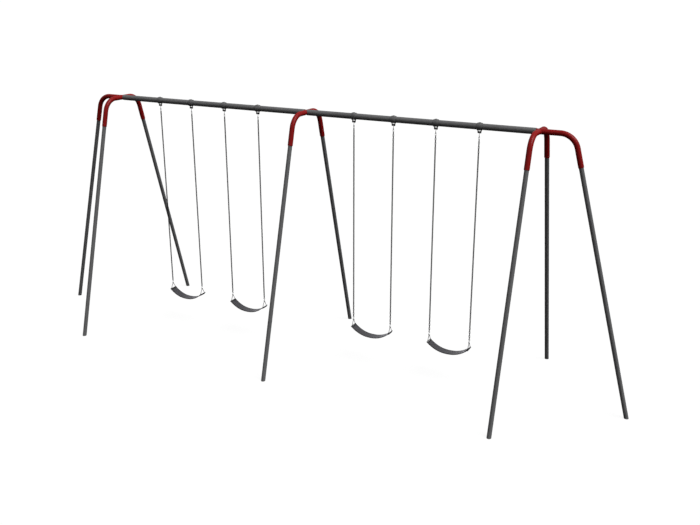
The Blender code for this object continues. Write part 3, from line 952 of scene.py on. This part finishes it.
def make_triangle(n, side, x):
    """A bent wire loop, with the butt weld in the middle of its base."""
    shape = bmesh.new()
    bar(shape, triangle_path(x), RIGHT, TRIANGLE_RADIUS, WIRE_SIDES, closed=True)
    weld = [(along, TRIANGLE_RADIUS + rise) for along, rise in BUTT_WELD]
    turned(shape, Vector((x, 0, TRIANGLE_BASE_Z)), REAR, weld, BUTT_WELD_SIDES)
    node = f"triangle_{n}_{side}"
    # The wire's near-black colour is painted shade for the shade under the belt.
    finish_piece(shape, f"{node}_wire", [TRIANGLE_WIRE_PAINTED_SHADE], f"seat_{n}", [node])


# Belt seats

def belt_height(offset):
    """The belt's centre line above the ground, at this distance from the seat's middle."""
    return BELT_LOW_Z + BELT_SAG * abs(offset / BELT_HALF) ** BELT_CURVE_POWER


def belt_slope(offset):
    """The belt's rise for each metre to the right, at this distance from the seat's middle."""
    share = abs(offset / BELT_HALF)
    steepest = BELT_CURVE_POWER * BELT_SAG / BELT_HALF
    return math.copysign(steepest * share ** (BELT_CURVE_POWER - 1), offset)


def belt_up(offset):
    """Square to the belt's top."""
    return Vector((-belt_slope(offset), 0, 1)).normalized()


def before_end(room):
    """How far from the seat's middle the belt is when this much of its length is left."""
    return BELT_HALF - room / math.hypot(1, belt_slope(BELT_HALF))


def belt_ring(x, offset, along, end_room):
    """The belt's closed section at one station, with this much of its length left to the end."""
    pad = eased((PAD_LENGTH - end_room) / PAD_STEP + 0.5)
    ribbed = (1 - pad) * eased((end_room - PAD_LENGTH) / RIB_RUN_OUT)
    wave = math.sin(2 * math.pi * along / RIB_PITCH)
    rib = RIB_HEIGHT * eased(0.5 + RIB_STEEPNESS * wave) * ribbed
    end_share = math.sqrt(max(1 - (1 - min(end_room / BELT_CORNER, 1)) ** 2, 0))
    end_share = (1 - BELT_END_ROUND) + BELT_END_ROUND * end_share
    flat_half = BELT_WIDTH / 2 - BELT_CORNER
    top = []
    bottom = []
    for i in range(PANEL_STEPS + 1):
        across = flat_half * (2 * (i / PANEL_STEPS) - 1)
        room = BELT_WIDTH / 2 - abs(across)
        band = 1 - eased((room - EDGE_BAND) / EDGE_STEP)
        height = PANEL_THICKNESS / 2 + (BELT_THICKNESS - PANEL_THICKNESS) / 2 * max(band, pad)
        top.append((across, (height + rib * (1 - band) + PAD_RISE * pad) * end_share))
        bottom.append((across, -height * end_share))
    corner_top = top[-1][1]
    corner_bottom = -bottom[-1][1]
    right = []
    for step in range(1, BELT_CORNER_STEPS):
        angle = math.pi / 2 - math.pi * step / BELT_CORNER_STEPS
        size = corner_top if angle > 0 else corner_bottom
        lift = math.copysign(abs(math.sin(angle)) ** BELT_CORNER_POWER, angle) * size
        right.append((flat_half + BELT_CORNER * math.cos(angle) ** BELT_CORNER_POWER, lift))
    left = [(-across, lift) for across, lift in reversed(right)]
    section = top + right + list(reversed(bottom)) + left
    centre = Vector((x + offset, 0, belt_height(offset)))
    up = belt_up(offset)
    return [centre + REAR * across + up * lift for across, lift in section]


def belt_stations():
    """Offsets from the seat's middle with the arc length to each, and the arc length to the end.

    They are evenly spaced along the belt, with a few more where its ends are rounded.
    """
    lengths = [0.0]
    for i in range(1, ARC_STEPS + 1):
        step = BELT_HALF / ARC_STEPS
        lengths.append(lengths[-1] + step * math.hypot(1, belt_slope((i - 0.5) * step)))
    total = lengths[-1]
    count = round(total / STATION_STEP)
    marks = [total * i / count for i in range(count)]
    marks += [total - BELT_CORNER * share for share in END_STATIONS]
    stations = []
    index = 0
    for mark in sorted(set(marks)):
        while index < ARC_STEPS and lengths[index + 1] < mark:
            index += 1
        stations.append((BELT_HALF * index / ARC_STEPS if mark < total else BELT_HALF, mark))
    mirrored = [(-offset, -mark) for offset, mark in reversed(stations) if mark > 0]
    return mirrored + stations, total


def slot_cutter(name, x, side):
    """A tall prism with round ends, where one leg of the triangle passes through the belt."""
    middle = belt_height(CHAIN_OFFSET)
    lean = math.atan(belt_slope(CHAIN_OFFSET))
    touching = (BELT_THICKNESS / 2 + PAD_RISE + TRIANGLE_RADIUS) / math.cos(lean)
    path = triangle_path(x)
    crossings = []
    for i, point in enumerate(path):
        after = path[(i + 1) % len(path)]
        for part in range(SLOT_SAMPLES + 1):
            place = point.lerp(after, part / SLOT_SAMPLES)
            if abs(place.z - middle) <= touching and place.y > 0:
                crossings.append(place.y)
    centre = (max(crossings) + min(crossings)) / 2
    stretch = (max(crossings) - min(crossings)) / 2
    place = Vector((x, side * centre, middle))
    ring = ring_at(place, RIGHT, REAR, TRIANGLE_RADIUS + SLOT_PLAY, SLOT_SIDES)
    for point in ring:
        point.y += math.copysign(stretch, point.y - side * centre)
    shape = bmesh.new()
    reach = UP * SLOT_REACH
    skin(shape, [[point - reach for point in ring], [point + reach for point in ring]], caps=True)
    bmesh.ops.recalc_face_normals(shape, faces=shape.faces)
    return mesh_object(shape, name)


def make_belt(n, x):
    """A ribbed rubber belt with raised edges and a thicker pad at each end.

    It is slotted for its two triangles.
    """
    stations, total = belt_stations()
    shape = bmesh.new()
    rings = [belt_ring(x, offset, mark, total - abs(mark)) for offset, mark in stations]
    for face in skin(shape, rings, caps=True):
        place = face.calc_center_median()
        in_pad = abs(place.x - x) > before_end(PAD_LENGTH)
        in_band = BELT_WIDTH / 2 - abs(place.y) < EDGE_BAND + EDGE_STEP / 2
        face.material_index = 1 if in_pad or in_band else 0
    bmesh.ops.recalc_face_normals(shape, faces=shape.faces)
    plain = mesh_object(shape, f"belt_{n}_plain", [BELT_PANEL, BELT_EDGE])
    cutters = []
    for end in (-1, 1):
        for side in (-1, 1):
            cutter = slot_cutter(f"belt_{n}_slot_{end}_{side}", x + end * CHAIN_OFFSET, side)
            cutters.append(cutter)
            cut = plain.modifiers.new(cutter.name, "BOOLEAN")
            cut.object = cutter
            cut.operation = "DIFFERENCE"
            cut.solver = "EXACT"
    graph = bpy.context.evaluated_depsgraph_get()
    cut_mesh = bpy.data.meshes.new_from_object(plain.evaluated_get(graph))
    for spent in (plain, *cutters):
        bpy.data.objects.remove(spent, do_unlink=True)
    cut_mesh.name = f"belt_{n}_rubber"
    smooth(cut_mesh, SMOOTH_ANGLE)
    belt = new_object(f"belt_{n}_rubber", cut_mesh)
    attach(belt, f"seat_{n}")
    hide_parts(f"belt_seat_{n}")


def make_rivets(n, side, x, sign):
    """Domed rivets through the end pad, on its top and underneath."""
    profile = [(-RIVET_SINK, 0), (-RIVET_SINK, RIVET_RADIUS)]
    for step in range(RIVET_STEPS):
        angle = math.pi / 2 * step / RIVET_STEPS
        profile.append((RIVET_DOME * math.sin(angle), RIVET_RADIUS * math.cos(angle)))
    profile.append((RIVET_DOME, 0))
    offset = sign * before_end(RIVET_ROOM)
    up = belt_up(offset)
    centre = Vector((x + offset, 0, belt_height(offset)))
    shape = bmesh.new()
    for across in (-RIVET_ACROSS, RIVET_ACROSS):
        spot = centre + REAR * across
        turned(shape, spot + up * (BELT_THICKNESS / 2 + PAD_RISE), up, profile, RIVET_SIDES)
        turned(shape, spot - up * BELT_THICKNESS / 2, -up, profile, RIVET_SIDES)
    finish_piece(shape, f"belt_{n}_{side}_rivets", [RIVET_STEEL], f"seat_{n}")


def make_swing(n):
    """One swing from its two hangers to its belt."""
    x = SWING_X[n]
    body = f"swing_{n}"
    for side, sign in (("left", -1), ("right", 1)):
        place = x + sign * CHAIN_OFFSET
        make_hanger(f"{n}_{side}", place)
        upper_eye = Vector((place, 0, PIVOT_Z))
        make_hook(f"upper_hook_{n}_{side}", upper_eye, REAR, UPPER_HOOK_SPACING, body, BRIGHT_ZINC)
        make_chain(n, side, place)
        lower_eye = Vector((place, 0, TILT_Z + HOOK_EYE_RADIUS + LOWER_HOOK_SPACING))
        make_hook(f"lower_hook_{n}_{side}", lower_eye, RIGHT, LOWER_HOOK_SPACING, body, ZINC)
        make_triangle(n, side, place)
        make_rivets(n, side, x, sign)
    make_belt(n, x)


# All pieces

make_rail("rail_left", -1, -RAIL_OUTER_END)
make_rail("rail_right", 1, RAIL_OUTER_END)
make_yoke("left", [RIGHT], LEFT)
make_yoke("middle", [LEFT, RIGHT])
make_yoke("right", [LEFT], RIGHT)

LEGS = []
for frame_place, frame_x in FRAME_X.items():
    LEGS.append((f"{frame_place}_front", frame_x, FRONT, SIDE_ARM_REACH))
    LEGS.append((f"{frame_place}_rear", frame_x, REAR, SIDE_ARM_REACH))
LEGS.append(("left_outer", FRAME_X["left"], LEFT, OUTER_ARM_REACH))
LEGS.append(("right_outer", FRAME_X["right"], RIGHT, OUTER_ARM_REACH))
for leg in LEGS:
    make_leg(*leg)
    make_sleeve_bolt(*leg)

for bolt_label, bolt_x in (
    ("left_outer", RAIL_BOLT_INSET - RAIL_OUTER_END),
    ("left_inner", FRAME_X["middle"] - RAIL_INNER_END - RAIL_BOLT_INSET),
    ("right_inner", FRAME_X["middle"] + RAIL_INNER_END + RAIL_BOLT_INSET),
    ("right_outer", RAIL_OUTER_END - RAIL_BOLT_INSET),
):
    make_bolt(f"rail_bolt_{bolt_label}", hub(bolt_x) + REAR * RAIL_RADIUS, REAR)

for swing_number in SWING_X:
    make_swing(swing_number)


# Floor, light and camera

def make_floor():
    """A pale floor that takes faint shadows and sends no light back to the object."""
    shape = bmesh.new()
    bmesh.ops.create_grid(shape, x_segments=1, y_segments=1, size=FLOOR_HALF)
    material = bpy.data.materials.new("pale_floor")
    material.use_nodes = True
    set_inputs(material.node_tree.nodes["Principled BSDF"], {
        "Base Color": (*FLOOR_COLOUR, 1),
        "Roughness": FLOOR_ROUGHNESS,
        "Specular IOR Level": 0.0,
        "Emission Color": (1, 1, 1, 1),
        "Emission Strength": FLOOR_GLOW,
    })
    floor = mesh_object(shape, "floor", [material])
    floor.location.z = -FLOOR_DROP
    floor.visible_diffuse = False
    floor.visible_glossy = False


def make_sky():
    """A soft white dome, dark below the horizon, that the camera sees as plain white."""
    world = bpy.data.worlds.new("studio")
    bpy.context.scene.world = world
    world.use_nodes = True
    tree = world.node_tree
    tree.nodes.clear()
    output = tree.nodes.new("ShaderNodeOutputWorld")
    place = tree.nodes.new("ShaderNodeTexCoord").outputs["Generated"]
    split = tree.nodes.new("ShaderNodeSeparateXYZ")
    link(tree, place, split.inputs[0])
    level = remap(tree, split.outputs["Z"], HORIZON, (SKY_LOW, SKY_HIGH))
    dome = tree.nodes.new("ShaderNodeBackground")
    link(tree, level, dome.inputs["Strength"])
    plain = tree.nodes.new("ShaderNodeBackground")
    set_inputs(plain, {"Strength": 1.0, "Color": (1, 1, 1, 1)})
    seen = tree.nodes.new("ShaderNodeLightPath").outputs["Is Camera Ray"]
    mix = tree.nodes.new("ShaderNodeMixShader")
    for i, source in enumerate((seen, dome.outputs[0], plain.outputs[0])):
        link(tree, source, mix.inputs[i])
    link(tree, mix.outputs[0], output.inputs["Surface"])


def make_sun():
    """A broad soft light from above, in front and to the right."""
    light = bpy.data.lights.new("key", "SUN")
    light.energy = SUN_STRENGTH
    light.angle = SUN_ANGLE
    lamp = new_object("key", light)
    lamp.location = SUN_DIRECTION * SUN_DISTANCE
    lamp.rotation_euler = SUN_DIRECTION.to_track_quat("Z", "Y").to_euler()


def make_camera():
    """The photograph's viewing angle."""
    data = bpy.data.cameras.new("camera")
    data.lens = CAMERA_LENS
    data.sensor_width = CAMERA_SENSOR
    data.clip_end = CAMERA_REACH
    camera = new_object("camera", data)
    camera.location = CAMERA_PLACE
    camera.rotation_euler = CAMERA_TURN
    bpy.context.scene.camera = camera


make_floor()
make_sky()
make_sun()
make_camera()
bpy.context.scene.view_settings.view_transform = "Standard"
